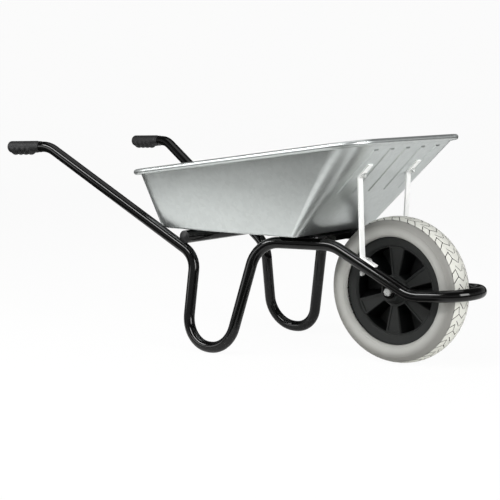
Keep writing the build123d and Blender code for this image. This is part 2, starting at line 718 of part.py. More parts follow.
# Axle: a bolt through both brackets, clamping the sleeve that the bushes run on
bracket_out = tab_in + BRACKET_THICK
right_face = Plane(origin=(AXLE_X, -bracket_out, AXLE_Z), x_dir=(1, 0, 0), z_dir=(0, -1, 0))
left_face = Plane(origin=(AXLE_X, bracket_out, AXLE_Z), x_dir=(1, 0, 0), z_dir=(0, 1, 0))
hex_bolts(
    "axle_bolt", [right_face], AXLE_HEAD_FLATS, AXLE_HEAD_HEIGHT, AXLE_D,
    2 * bracket_out + AXLE_NUT_HEIGHT + AXLE_TAIL,
)
hex_nuts("axle_nut", [left_face], AXLE_HEAD_FLATS, AXLE_NUT_HEIGHT, AXLE_D)

axle_plane = Plane(origin=(AXLE_X, 0, AXLE_Z), x_dir=(1, 0, 0), z_dir=(0, 1, 0))
with BuildPart() as axle_sleeve:
    with BuildSketch(axle_plane):
        Circle(SLEEVE_D / 2)
        Circle(AXLE_D / 2 + PUSH_GAP, mode=Mode.SUBTRACT)
    extrude(amount=BRACKET_GAP / 2, both=True)
save(axle_sleeve, "axle_sleeve")

with BuildPart() as axle_washers:
    for side in SIDES.values():
        with BuildSketch(Plane(origin=(AXLE_X, side * tab_in, AXLE_Z), z_dir=(0, -side, 0))):
            Circle(WASHER_D / 2)
            Circle(SLEEVE_D / 2 + PUSH_GAP, mode=Mode.SUBTRACT)
        extrude(amount=WASHER_THICK)
save(axle_washers, "axle_washers")

# Wheel: profiles are drawn as distance along the axle and radius, for one half, then mirrored
wheel_section = Plane(origin=(AXLE_X, 0, AXLE_Z), x_dir=(0, 1, 0), z_dir=(1, 0, 0))
wheel_axis = Axis((AXLE_X, 0, AXLE_Z), (0, 1, 0))
hub_half = tab_in - WASHER_THICK - END_FLOAT - BUSH_FLANGE_THICK
barrel_r = RIM_R - RIM_FLANGE_HEIGHT
flange_half = RIM_HALF - RIM_FLANGE_THICK
seat_half = flange_half - RIM_FLANGE_THICK / 2
ring_in_r = RIM_R - RIM_RING_WIDTH
ring_in_half = RIM_HALF - RIM_RING_DISH
dish_r = barrel_r - RIM_BARREL_THICK

for name, side in SIDES.items():
    with BuildPart() as bush:
        with BuildSketch(Plane(origin=(AXLE_X, side * hub_half, AXLE_Z), z_dir=(0, side, 0))):
            Circle(BUSH_FLANGE_D / 2)
        extrude(amount=BUSH_FLANGE_THICK)
        with BuildSketch(Plane(origin=(AXLE_X, side * hub_half, AXLE_Z), z_dir=(0, side, 0))):
            Circle(BUSH_D / 2)
        extrude(amount=-BUSH_DEPTH)
        with BuildSketch(axle_plane):
            Circle(SLEEVE_D / 2 + RUNNING_GAP)
        extrude(amount=BRACKET_GAP, both=True, mode=Mode.SUBTRACT)
    save(bush, f"{name}_bush")

# Rim: a thick disc cut from both sides in turn by deep tapering pockets. What is left is a folded web,
# whose folds are the spokes of the right face and, half a step on, those of the left face
half_step = 180 / SPOKE_COUNT


def wheel_plane(half, side, turn):
    """A plane across the axle that faces one side, with X turned up from the front of the wheel."""
    toward = (cos(radians(turn)), 0, sin(radians(turn)))
    return Plane(origin=(AXLE_X, half, AXLE_Z), x_dir=toward, z_dir=(0, side, 0))


def spoke_half(radius):
    """Half the width of a spoke's face at a radius."""
    share = (radius - HUB_ROOT_R) / (dish_r - HUB_ROOT_R)
    return (SPOKE_ROOT_WIDTH + share * (SPOKE_TIP_WIDTH - SPOKE_ROOT_WIDTH)) / 2


def beside_spoke(radius):
    """A point on a spoke's edge, seen along the middle of the pocket beside it."""
    turn = radians(half_step)
    return (
        radius * cos(turn) + spoke_half(radius) * sin(turn),
        radius * sin(turn) - spoke_half(radius) * cos(turn),
    )


def wedge(root, tip, limit):
    """A wedge with straight sides from root to tip, cut short by a circle round the axle."""
    Polygon(root, tip, (tip[0], -tip[1]), (root[0], -root[1]), align=None)
    Circle(limit, mode=Mode.INTERSECT)


floor_root = HUB_ROOT_R + 2 * WEB_WALL
web_pockets = []
for side in SIDES.values():
    pocket_turn = SPOKE_FIRST + (half_step if side < 0 else 0)
    with BuildPart() as web_pocket:
        with BuildSketch(wheel_plane(side * SPOKE_HALF, side, pocket_turn)):
            wedge(beside_spoke(HUB_ROOT_R + WEB_WALL), beside_spoke(RIM_R), dish_r - WEB_DRAFT)
        with BuildSketch(wheel_plane(side * (WEB_WALL - SPOKE_HALF), side, pocket_turn)):
            wedge(
                (floor_root, spoke_half(floor_root) - WEB_WALL),
                (RIM_R, spoke_half(RIM_R) - WEB_WALL),
                dish_r - 2 * WEB_DRAFT,
            )
        loft(ruled=True)
    web_pockets += [web_pocket.part.rotate(wheel_axis, 2 * half_step * step) for step in range(SPOKE_COUNT)]

recess_root = HUB_ROOT_R + SPOKE_EDGE
recess_tip = dish_r - WEB_DRAFT - SPOKE_EDGE
recess_root_half = spoke_half(recess_root) - SPOKE_EDGE
recess_tip_half = spoke_half(recess_tip) - SPOKE_EDGE
with BuildPart() as rim:
    with BuildSketch(wheel_section):
        with BuildLine():
            Polyline(
                (0, barrel_r),
                (seat_half, barrel_r),
                (flange_half, RIM_R),
                (RIM_HALF, RIM_R),
                (ring_in_half, ring_in_r),
                (ring_in_half - RIM_LIP, ring_in_r - RIM_LIP),
                (SPOKE_HALF, dish_r),
                (SPOKE_HALF, HUB_ROOT_R),
                (hub_half, HUB_END_R),
                (hub_half, BUSH_D / 2 + PUSH_GAP),
                (hub_half - BUSH_DEPTH, BUSH_D / 2 + PUSH_GAP),
                (hub_half - BUSH_DEPTH, SLEEVE_D / 2 + HUB_BORE_GAP),
                (0, SLEEVE_D / 2 + HUB_BORE_GAP),
            )
            mirror(about=Plane.YZ)
        make_face()
    revolve(axis=wheel_axis)
    add(web_pockets, mode=Mode.SUBTRACT)
    # each spoke's face is sunk inside a raised edge
    for side in SIDES.values():
        spoke_turn = SPOKE_FIRST + (half_step if side > 0 else 0)
        with BuildSketch(wheel_plane(side * SPOKE_HALF, side, spoke_turn)):
            with PolarLocations(0, SPOKE_COUNT):
                Polygon(
                    (recess_root, -recess_root_half),
                    (recess_tip, -recess_tip_half),
                    (recess_tip, recess_tip_half),
                    (recess_root, recess_root_half),
                    align=None,
                )
        extrude(amount=-SPOKE_RECESS, mode=Mode.SUBTRACT)
save(rim, "rim")

tread_in_half = TYRE_SHOULDER_HALF - TYRE_WALL
tread_in_r = TYRE_SHOULDER_R - TYRE_TREAD
bead_in = seat_half - TYRE_BEAD
sidewall_r = (RIM_R + TYRE_SHOULDER_R) / 2
tyre_seat_r = barrel_r + PUSH_GAP
flange_top = RIM_R + PUSH_GAP
with BuildPart() as tyre:
    with BuildSketch(wheel_section):
        with BuildLine():
            Polyline(
                (bead_in, tyre_seat_r),
                (seat_half - PUSH_GAP, tyre_seat_r),
                (flange_half - PUSH_GAP, flange_top),
                (RIM_HALF, flange_top),
            )
            ThreePointArc(
                (RIM_HALF, flange_top),
                (TYRE_WIDTH / 2, sidewall_r),
                (TYRE_SHOULDER_HALF, TYRE_SHOULDER_R),
            )
            Polyline(
                (bead_in, tyre_seat_r),
                (bead_in, flange_top),
                (RIM_HALF, flange_top + TYRE_WALL),
            )
            ThreePointArc(
                (RIM_HALF, flange_top + TYRE_WALL),
                (TYRE_WIDTH / 2 - TYRE_WALL, sidewall_r),
                (tread_in_half, tread_in_r),
            )
            mirror(about=Plane.YZ)
            ThreePointArc(
                (TYRE_SHOULDER_HALF, TYRE_SHOULDER_R),
                (0, WHEEL_R),
                (-TYRE_SHOULDER_HALF, TYRE_SHOULDER_R),
            )
            ThreePointArc(
                (tread_in_half, tread_in_r), (0, WHEEL_R - TYRE_TREAD), (-tread_in_half, tread_in_r)
            )
        make_face()
    revolve(axis=wheel_axis)
save(tyre, "tyre")
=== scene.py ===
# %% [markdown]
# # A builder's wheelbarrow in a white studio
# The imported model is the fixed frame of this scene: every solid of the barrow is already where it
# belongs, in metres, with +X towards the wheel, +Z up and the ground at zero. This lesson gives each
# surface its finish, moulds a tyre with its tread and two grips with their ridges, and lights the lot.

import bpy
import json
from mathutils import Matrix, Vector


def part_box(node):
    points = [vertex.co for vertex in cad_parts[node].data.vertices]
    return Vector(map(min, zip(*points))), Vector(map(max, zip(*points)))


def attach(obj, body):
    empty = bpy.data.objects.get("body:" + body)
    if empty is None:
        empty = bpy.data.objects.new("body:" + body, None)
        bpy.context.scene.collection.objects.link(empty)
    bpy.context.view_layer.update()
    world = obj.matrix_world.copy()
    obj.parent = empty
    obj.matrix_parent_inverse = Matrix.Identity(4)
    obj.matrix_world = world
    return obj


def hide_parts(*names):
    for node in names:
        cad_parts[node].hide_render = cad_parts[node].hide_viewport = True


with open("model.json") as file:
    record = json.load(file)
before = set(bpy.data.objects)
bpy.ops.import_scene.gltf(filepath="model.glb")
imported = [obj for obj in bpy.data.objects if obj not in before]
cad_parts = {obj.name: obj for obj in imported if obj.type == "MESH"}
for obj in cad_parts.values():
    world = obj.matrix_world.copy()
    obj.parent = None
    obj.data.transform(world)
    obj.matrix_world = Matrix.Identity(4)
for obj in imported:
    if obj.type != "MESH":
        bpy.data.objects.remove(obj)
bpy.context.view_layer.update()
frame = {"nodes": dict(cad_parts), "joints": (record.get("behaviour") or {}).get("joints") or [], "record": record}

# %% [markdown]
# ## Colours and nodes
# A colour picked from a screen is sRGB, but shader sockets want linear light, so one function turns
# the hex code into that. Node trees get long when every node takes four lines of code. One small
# function that adds a node, sets it and links it keeps each material readable from top to bottom.

# %% Two helpers for materials
import bpy


def linear(code):
    """An sRGB hex colour such as "#9B9C98" as the linear RGBA that a socket takes."""
    parts = [int(code[i : i + 2], 16) / 255 for i in (1, 3, 5)]
    return [p / 12.92 if p <= 0.04045 else ((p + 0.055) / 1.055) ** 2.4 for p in parts] + [1.0]


def add(tree, kind, sockets=(), **settings):
    """Adds one node; sockets maps an input to its value, or to the output that feeds it."""
    node = tree.nodes.new("ShaderNode" + kind)
    for name, value in settings.items():
        setattr(node, name, value)
    for key, value in dict(sockets).items():
        if isinstance(value, bpy.types.NodeSocket):
            tree.links.new(value, node.inputs[key])
        else:
            node.inputs[key].default_value = value
    return node


def start(name):
    """A new material with an empty node tree, and that tree."""
    material = bpy.data.materials.new(name)
    material.use_nodes = True
    material.node_tree.nodes.clear()
    return material, material.node_tree


print("linear mid grey", round(linear("#808080")[0], 3))

# %% [markdown]
# ## Black enamel
# The tube, the crossbar and the brackets are dipped in black enamel and stoved. The paint flows out
# glossy but not flat: it keeps a faint orange-peel ripple, which breaks the edge of a reflection, and
# handling dulls it in soft patches. The ground rubs the foot loops, so a little dust shows there.
# A bump node makes the ripple, because it is far too shallow to model. To the eye this is deep black
# with thin, bright streaks.

# %% Stoved black enamel
PEEL_MM = 3.0  # real orange peel is nearer 1.5 mm, drawn coarser so that it shows
HANDLING_MM = 70.0
SCUFF_MM = 9.0
SCUFF_TOP = 0.007  # metres above the ground

black_enamel, tree = start("stoved_black_enamel")
place = add(tree, "TexCoord").outputs["Object"]
peel = add(tree, "TexNoise", {"Vector": place, "Scale": 1000 / PEEL_MM, "Detail": 1.0})
handling = add(tree, "TexNoise", {"Vector": place, "Scale": 1000 / HANDLING_MM, "Detail": 4.0})
scuffs = add(tree, "TexNoise", {"Vector": place, "Scale": 1000 / SCUFF_MM, "Detail": 5.0})
height = add(tree, "SeparateXYZ", {"Vector": place})
near_ground = add(
    tree,
    "MapRange",
    {"Value": height.outputs["Z"], "From Min": SCUFF_TOP, "From Max": 0.0},
)
patchy = add(
    tree,
    "MapRange",
    {"Value": scuffs.outputs["Fac"], "From Min": 0.48, "From Max": 0.62, "To Max": 0.7},
)
dusty = add(
    tree,
    "Math",
    {0: near_ground.outputs["Result"], 1: patchy.outputs["Result"]},
    operation="MULTIPLY",
)
clean = add(
    tree,
    "Mix",
    {0: handling.outputs["Fac"], 6: linear("#040404"), 7: linear("#090909")},
    data_type="RGBA",
)
colour = add(
    tree,
    "Mix",
    {0: dusty.outputs["Value"], 6: clean.outputs[2], 7: linear("#6E6B66")},
    data_type="RGBA",
)
gloss = add(
    tree,
    "MapRange",
    {
        "Value": handling.outputs["Fac"],
        "From Min": 0.3,
        "From Max": 0.7,
        "To Min": 0.07,
        "To Max": 0.14,
    },
)
ripple = add(
    tree,
    "Bump",
    {"Height": peel.outputs["Fac"], "Strength": 0.08, "Distance": 0.0001},
)
paint = add(
    tree,
    "BsdfPrincipled",
    {
        "Base Color": colour.outputs[2],
        "Roughness": gloss.outputs["Result"],
        "Normal": ripple.outputs["Normal"],
        "IOR": 1.4,
    },
)
add(tree, "OutputMaterial", {"Surface": paint.outputs["BSDF"]})
print(black_enamel.name, len(tree.nodes), "nodes")

# %% [markdown]
# ## Galvanised sheet
# The tray is pressed from steel sheet that was dipped in molten zinc. The zinc freezes in flat
# crystals, the spangle, each turned a little differently, so each patch of a centimetre or so
# reflects a slightly different part of the room. Cells from a Voronoi texture give one value per
# crystal, and that value moves the tint and the roughness a little. A long soft wave, as pressing
# leaves in thin sheet, bends the reflections. To the eye this is a soft, silvery mirror of the floor.

# %% Hot-dip galvanised sheet
SPANGLE_MM = 11.0
SPANGLE_FRAY = 0.006  # how far noise pulls the crystals' straight edges about
PRESS_WAVE_MM = 150.0

galvanised, tree = start("hot_dip_galvanised_sheet")
place = add(tree, "TexCoord").outputs["Object"]
warp = add(tree, "TexNoise", {"Vector": place, "Scale": 1000 / SPANGLE_MM, "Detail": 2.0})
shifted = add(
    tree,
    "Mix",
    {0: SPANGLE_FRAY, 4: place, 5: warp.outputs["Color"]},
    data_type="VECTOR",
)
spangle = add(tree, "TexVoronoi", {"Vector": shifted.outputs[1], "Scale": 1000 / SPANGLE_MM})
crystal = add(tree, "SeparateColor", {"Color": spangle.outputs["Color"]})
press = add(tree, "TexNoise", {"Vector": place, "Scale": 1000 / PRESS_WAVE_MM, "Detail": 1.0})
tint = add(
    tree,
    "Mix",
    {0: crystal.outputs["Red"], 6: linear("#D8DDDC"), 7: linear("#DEE3E2")},
    data_type="RGBA",
)
dull = add(
    tree,
    "MapRange",
    {"Value": crystal.outputs["Green"], "To Min": 0.31, "To Max": 0.33},
)
wavy = add(
    tree,
    "Bump",
    {"Height": press.outputs["Fac"], "Strength": 0.5, "Distance": 0.003},
)
zinc_skin = add(
    tree,
    "BsdfPrincipled",
    {
        "Base Color": tint.outputs[2],
        "Metallic": 0.9,
        "Roughness": dull.outputs["Result"],
        "Normal": wavy.outputs["Normal"],
    },
)
add(tree, "OutputMaterial", {"Surface": zinc_skin.outputs["BSDF"]})
print(galvanised.name, "spangle of", SPANGLE_MM, "mm")

# %% [markdown]
# ## Zinc plate
# The small steel pieces are electroplated with zinc. The stays hang singly in the bath and come out
# frosted, almost white. Bolts, nuts and washers are plated in a turning barrel, where they rub each
# other greyer and shinier. Both have a faint cloud from the rinse and no spangle, so one function
# makes both, and how metallic the surface is does most of the work.

# %% Frosted and tumbled zinc plate
PLATE_CLOUD_MM = 18.0


def plated(name, dark, light, metallic, roughness):
    """Electroplated zinc: a cloudy tint between two greys, and a roughness that follows the cloud."""
    material, tree = start(name)
    place = add(tree, "TexCoord").outputs["Object"]
    cloud = add(tree, "TexNoise", {"Vector": place, "Scale": 1000 / PLATE_CLOUD_MM, "Detail": 4.0})
    tint = add(
        tree,
        "Mix",
        {0: cloud.outputs["Fac"], 6: linear(dark), 7: linear(light)},
        data_type="RGBA",
    )
    dull = add(
        tree,
        "MapRange",
        {
            "Value": cloud.outputs["Fac"],
            "From Min": 0.3,
            "From Max": 0.7,
            "To Min": roughness[0],
            "To Max": roughness[1],
        },
    )
    plate = add(
        tree,
        "BsdfPrincipled",
        {"Base Color": tint.outputs[2], "Metallic": metallic, "Roughness": dull.outputs["Result"]},
    )
    add(tree, "OutputMaterial", {"Surface": plate.outputs["BSDF"]})
    return material


frosted_zinc = plated("frosted_zinc_plate", "#F2F3F2", "#FAFAF8", 0.1, (0.42, 0.52))
tumbled_zinc = plated("tumbled_zinc_plate", "#D2D4D3", "#E0E1DF", 0.75, (0.26, 0.36))
print("zinc:", frosted_zinc.name, tumbled_zinc.name)

# %% [markdown]
# ## Moulded blacks
# Four kinds of black piece are moulded, each of its own plastic. The grips are soft PVC, fine and matt
# in grain, the rim is polypropylene with a spark-eroded texture and a slight sheen, and the end plugs
# and bushes are polythene and nylon. They share one recipe with other numbers, so one function holds
# the recipe: a cloudy colour, a fine grain as bump and a roughness that follows the cloud.

# %% A moulded plastic
CLOUD_MM = 35.0


def moulded(name, dark, light, roughness, grain_mm, grain_depth, ior):
    """A moulded plastic: cloudy colour, roughness range, and a grain of that size in mm.

    Returns the material, its tree, and the nodes that make its place, colour and surface.
    """
    material, tree = start(name)
    place = add(tree, "TexCoord").outputs["Object"]
    cloud = add(tree, "TexNoise", {"Vector": place, "Scale": 1000 / CLOUD_MM, "Detail": 5.0})
    grain = add(tree, "TexNoise", {"Vector": place, "Scale": 1000 / grain_mm, "Detail": 2.0})
    colour = add(
        tree,
        "Mix",
        {0: cloud.outputs["Fac"], 6: linear(dark), 7: linear(light)},
        data_type="RGBA",
    )
    dull = add(
        tree,
        "MapRange",
        {
            "Value": cloud.outputs["Fac"],
            "From Min": 0.3,
            "From Max": 0.7,
            "To Min": roughness[0],
            "To Max": roughness[1],
        },
    )
    texture = add(
        tree,
        "Bump",
        {"Height": grain.outputs["Fac"], "Strength": 0.4, "Distance": grain_depth},
    )
    plastic = add(
        tree,
        "BsdfPrincipled",
        {
            "Base Color": colour.outputs[2],
            "Roughness": dull.outputs["Result"],
            "Normal": texture.outputs["Normal"],
            "IOR": ior,
        },
    )
    add(tree, "OutputMaterial", {"Surface": plastic.outputs["BSDF"]})
    return material, tree, place, colour, plastic


print("moulded plastics cloud over", CLOUD_MM, "mm")

# %% Grip PVC, plug polythene and bush nylon
# Grains are near 0.5 mm on the real mouldings, drawn at 1.5 to 2 mm so that they show.
grip_pvc, *_ = moulded("moulded_grip_pvc", "#0D0D0E", "#161617", (0.5, 0.66), 2.0, 0.0003, 1.53)
plug_plastic, *_ = moulded(
    "moulded_plug_polythene", "#111112", "#1A1A1B", (0.35, 0.5), 1.5, 0.0001, 1.51
)
bush_plastic, *_ = moulded("moulded_bush_nylon", "#202021", "#2B2B2B", (0.38, 0.5), 1.5, 0.0001, 1.53)
print("moulded:", grip_pvc.name, plug_plastic.name, bush_plastic.name)

# %% [markdown]
# ## The rim's plastic
# The pockets between the spokes are painted darker and duller than the outer faces of the rim, as
# shade, so that they look almost empty. How far a point lies from the wheel's middle plane tells
# the two apart, so no mask has to be painted.

# %% Rim polypropylene
POCKET_SHADE_FADES, POCKET_SHADE_GONE = 0.018, 0.0225  # metres from the middle of the wheel, between which the painted pocket shade fades out

rim_plastic, tree, place, colour, plastic = moulded(
    "moulded_rim_polypropylene", "#060707", "#0A0B0B", (0.45, 0.6), 1.5, 0.0002, 1.42
)
across_wheel = add(tree, "SeparateXYZ", {"Vector": place})
from_middle = add(tree, "Math", {0: across_wheel.outputs["Y"]}, operation="ABSOLUTE")
unshaded_faces = add(
    tree,
    "MapRange",
    {"Value": from_middle.outputs["Value"], "From Min": POCKET_SHADE_FADES, "From Max": POCKET_SHADE_GONE},
)
# Painted shade: the pockets take the darker colour, and the outer faces the paler one.
pocket_shaded_colour = add(
    tree,
    "Mix",
    {0: unshaded_faces.outputs["Result"], 6: colour.outputs[2], 7: linear("#1B1D1C")},
    data_type="RGBA",
)
sheen = add(
    tree,
    "MapRange",
    {"Value": unshaded_faces.outputs["Result"], "To Min": 0.12, "To Max": 0.5},
)
tree.links.new(pocket_shaded_colour.outputs[2], plastic.inputs["Base Color"])
tree.links.new(sheen.outputs["Result"], plastic.inputs["Specular IOR Level"])
print(rim_plastic.name, "rubbed beyond", POCKET_SHADE_FADES * 1000, "mm from the middle")

# %% [markdown]
# ## Grey tyre rubber
# The tyre is non-marking grey rubber. Its side walls come out of a smooth mould and keep a satin
# skin that is darker towards the shoulder, while the tread is paler. The grooves are painted dark
# grey as shade. Three materials on one mesh do this, and which face takes which is decided when
# the mesh is built. The side wall's darkening follows the distance from the axle.

# %% A tyre rubber
DUST_MM = 25.0
SKIN_MM = 1.6  # the mould's own grain is finer, drawn coarser so that it shows


def tyre_rubber(name, dark, light, roughness):
    """Moulded rubber: mottled between two greys, with a fine skin.

    Returns the material, its tree, and the nodes that make its colour, surface and place.
    """
    material, tree = start(name)
    place = add(tree, "TexCoord").outputs["Object"]
    dust = add(tree, "TexNoise", {"Vector": place, "Scale": 1000 / DUST_MM, "Detail": 6.0})
    skin = add(tree, "TexNoise", {"Vector": place, "Scale": 1000 / SKIN_MM, "Detail": 2.0})
    colour = add(
        tree,
        "Mix",
        {0: dust.outputs["Fac"], 6: linear(dark), 7: linear(light)},
        data_type="RGBA",
    )
    texture = add(
        tree,
        "Bump",
        {"Height": skin.outputs["Fac"], "Strength": 0.3, "Distance": 0.0002},
    )
    rubber = add(
        tree,
        "BsdfPrincipled",
        {
            "Base Color": colour.outputs[2],
            "Roughness": roughness,
            "Normal": texture.outputs["Normal"],
            "IOR": 1.52,
        },
    )
    add(tree, "OutputMaterial", {"Surface": rubber.outputs["BSDF"]})
    return material, tree, colour, rubber, place


print("tyre rubber is mottled over", DUST_MM, "mm")

# %% Tread, groove and side wall
axle = frame["joints"][0]["pos_m"]
SHADE_FROM, SHADE_TO = 0.160, 0.184  # metres from the axle, between which the side wall darkens

tread_rubber, *_ = tyre_rubber("pale_tread_rubber", "#C8C8C1", "#D4D4CD", 0.8)
# Painted shade: the grooves take a dark grey.
groove_shade_rubber, *_ = tyre_rubber("painted_shade_groove_rubber", "#4A4A47", "#5E5E5A", 0.9)
wall_rubber, tree, mottled, rubber, place = tyre_rubber(
    "moulded_side_wall_rubber", "#9C9C98", "#A6A6A2", 0.6
)
from_axle = add(tree, "VectorMath", {0: place, 1: axle}, operation="SUBTRACT")
flattened = add(
    tree,
    "VectorMath",
    {0: from_axle.outputs["Vector"], 1: (1.0, 0.0, 1.0)},
    operation="MULTIPLY",
)
radius = add(tree, "VectorMath", {0: flattened.outputs["Vector"]}, operation="LENGTH")
to_shoulder = add(
    tree,
    "MapRange",
    {
        "Value": radius.outputs["Value"],
        "From Min": SHADE_FROM,
        "From Max": SHADE_TO,
        "To Max": 0.8,
    },
    interpolation_type="SMOOTHSTEP",
)
shaded = add(
    tree,
    "Mix",
    {0: to_shoulder.outputs["Result"], 6: mottled.outputs[2], 7: linear("#71706C")},
    data_type="RGBA",
)
tree.links.new(shaded.outputs[2], rubber.inputs["Base Color"])
print("tyre rubbers:", wall_rubber.name, tread_rubber.name, groove_shade_rubber.name)

# %% [markdown]
# ## Finishes on the CAD pieces
# The record names a material slot for each solid, so the finish of a piece is looked up rather than
# typed again. Only the stays are told apart by name, because they share a slot with the fasteners.
# Modifiers would round the edges, but at this size the solids' own fillets do that.

# %% Dress the solids
finishes = {
    "black_paint": black_enamel,
    "galvanised_sheet": galvanised,
    "zinc_steel": tumbled_zinc,
    "grip_rubber": grip_pvc,
    "black_plug": plug_plastic,
    "grey_tyre": wall_rubber,
    "black_rim_plastic": rim_plastic,
    "bush_plastic": bush_plastic,
}
slots = {part["node"]: part["material_slot"] for part in frame["record"]["subparts"]}
for name, piece in frame["nodes"].items():
    piece.data.materials.clear()
    piece.data.materials.append(frosted_zinc if name.endswith("_stay") else finishes[slots[name]])
print(len(slots), "nodes dressed from", len(set(slots.values())), "slots")

# %% [markdown]
# ## The tread
# Each repeat of the tread is a pair of mirrored, kinked grooves that meet in a V on the crown, with a
# branch to the shoulder and a loose tick beside the long leg. Blocks could be modelled one by one, but
# the real tread is a closed rubber skin with narrow cuts. So one repeat is drawn flat, as strips along
# each groove, and a constrained triangulation cuts the strips out of the rectangle. Faces inside a
# strip sink by the groove's depth, and a wall joins each pair of levels.

# %% Draw one repeat of the tread flat
from math import asin, cos, pi, radians, sin, sqrt

from mathutils import Matrix, Vector
from mathutils.geometry import delaunay_2d_cdt

tyre_low, tyre_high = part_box("tyre")
WHEEL_R = (tyre_high.z - tyre_low.z) / 2
TREAD_REPEATS = 25
REPEAT = 2 * pi * WHEEL_R / TREAD_REPEATS
GROOVE_HALF = 0.0011
TREAD_HALF = 0.0472  # along the curved tread, from the crown to the end of the shoulder
TREAD_EDGE = 0.0365  # where the pale tread gives way to the smooth shoulder
GRID_S, GRID_W = 10, 20

# Grooves of one half, in mm: across from the crown, and along the way round.
GROOVES_MM = [
    [(38.0, 17.0), (36.5, 9.5), (34.0, 8.0), (21.0, 0.0), (17.0, 20.0), (0.0, 34.0)],
    [(17.0, 20.0), (33.0, 32.5), (37.5, 36.0)],
    [(18.0, -9.5), (3.0, 7.0)],
]


def strip(a, b):
    """The four corners of a groove from a to b, run on by half its width at both ends."""
    along = (b - a).normalized() * GROOVE_HALF
    aside = Vector((-along.y, along.x))
    return [a - along - aside, b + along - aside, b + along + aside, a - along + aside]


def cut_repeat():
    """Points, triangles and a flag per triangle for whether it is the bottom of a groove."""
    sheet = [(0, -TREAD_HALF), (REPEAT, -TREAD_HALF), (REPEAT, TREAD_HALF), (0, TREAD_HALF)]
    points = [Vector(p) for p in sheet]
    outlines = [[0, 1, 2, 3]]
    for line in GROOVES_MM:
        for side in (-1, 1):
            for turn in (-REPEAT, 0, REPEAT):
                path = [Vector((s / 1000 + turn, side * w / 1000)) for w, s in line]
                for a, b in zip(path, path[1:]):
                    outlines.append(range(len(points), len(points) + 4))
                    points += strip(a, b)
    edges = []
    for w in (-TREAD_EDGE, TREAD_EDGE):
        edges.append((len(points), len(points) + 1))
        points += [Vector((0, w)), Vector((REPEAT, w))]
    for i in range(GRID_S + 1):
        for j in range(GRID_W + 1):
            points.append(Vector((REPEAT * i / GRID_S, TREAD_HALF * (2 * j / GRID_W - 1))))
    found = delaunay_2d_cdt(points, edges, [list(o) for o in outlines], 0, 1e-6)
    corners, faces, owners = found[0], found[2], found[5]
    kept = [(f, len(o) > 1) for f, o in zip(faces, owners) if 0 in o]
    return corners, [f for f, sunk in kept], [sunk for f, sunk in kept]


flat_points, flat_faces, flat_sunk = cut_repeat()
print(len(flat_faces), "triangles in a repeat,", sum(flat_sunk), "of them in grooves")

# %% [markdown]
# ## The tyre
# The flat repeat is wrapped round the wheel 25 times. Across, it follows the crown and rolls over the
# shoulder; the grooves fade out there, as they do in the mould. The side wall is a turned profile: a
# smooth curve through a few radii with two raised moulding lines. It starts from the same ring of
# points as the tread ends on, so that one weld makes a single skin of both.

# %% From the flat tread to the wheel
CROWN_R = 0.0935
CROWN_HALF = 0.0405
CROWN_END = asin(CROWN_HALF / CROWN_R)  # where the shoulder starts to roll, as an angle of the crown
SHOULDER_R = 0.006
FADE = 0.006  # over which the grooves run out, at the end of the shoulder
TREAD_PHASE = radians(-6.54)  # the first apex of the tread, from the front of the wheel


def across(w, depth):
    """Half width and radius at w across the tread, sunk by depth along the surface's normal."""
    side, reach = (-1 if w < 0 else 1), abs(w)
    lean = min(reach / CROWN_R, CROWN_END)
    y, r = CROWN_R * sin(lean), WHEEL_R - CROWN_R * (1 - cos(lean))
    if reach > CROWN_R * CROWN_END:
        lean = CROWN_END + (reach - CROWN_R * CROWN_END) / SHOULDER_R
        y += SHOULDER_R * (sin(lean) - sin(CROWN_END))
        r += SHOULDER_R * (cos(lean) - cos(CROWN_END))
    fade = min(1.0, max(0.0, (TREAD_HALF - reach) / FADE))
    return side * (y - depth * fade * sin(lean)), r - depth * fade * cos(lean)


def around(y, r, s):
    """The place of a point that lies s along the way round, which runs down at the wheel's front."""
    turn = TREAD_PHASE + s / WHEEL_R
    return Vector((axle[0] + r * cos(turn), axle[1] + y, axle[2] - r * sin(turn)))


print("the shoulder starts at", round(CROWN_R * CROWN_END * 1000, 1), "mm along the tread")

# %% The side wall's profile
# Half width and radius down the side wall, in mm, from the shoulder to the bead.
WALL_MM = [
    (47.2, 180.6),
    (49.6, 174.0),
    (50.4, 167.0),
    (49.6, 159.5),
    (46.8, 153.0),
    (42.0, 148.6),
    (35.0, 146.6),
]
WALL_STEPS = 10
MOULD_LINES_MM = [(177.5, 0.9, 0.7), (153.5, 1.2, 0.8)]  # radius, half width, height


def side_wall():
    """Half width and radius down the side wall: a smooth curve through WALL_MM, its lines raised."""
    first = [1000 * v for v in across(TREAD_HALF, 0.0)]
    knots = [Vector(first), *(Vector(p) for p in WALL_MM)]
    knots = [2 * knots[0] - knots[1], *knots, 2 * knots[-1] - knots[-2]]
    wall = []
    for a, b, c, d in zip(knots, knots[1:], knots[2:], knots[3:]):
        for i in range(WALL_STEPS):
            t = i / WALL_STEPS
            bend = (2 * a - 5 * b + 4 * c - d) * t**2 + (3 * b - a - 3 * c + d) * t**3
            p = 0.5 * (2 * b + (c - a) * t + bend)
            lift = sum(h * max(0.0, 1 - ((p.y - r) / half) ** 2) for r, half, h in MOULD_LINES_MM)
            wall.append(((p.x + lift) / 1000, p.y / 1000))
    return wall


wall_profile = side_wall()
print(len(wall_profile), "rings in a side wall")

# %% Wrap the tread round the wheel
import bmesh

GROOVE_DEPTH = 0.0035
WALL, TREAD, GROOVE = 0, 1, 2  # the tyre's material slots

form = bmesh.new()
made = {}


def corner(k, i, sunk):
    """The vertex of flat point i in repeat k, at the top or the bottom of a groove, made once."""
    if (k, i, sunk) not in made:
        s, w = flat_points[i]
        y, r = across(w, GROOVE_DEPTH if sunk else 0.0)
        made[k, i, sunk] = form.verts.new(around(y, r, s + k * REPEAT))
    return made[k, i, sunk]


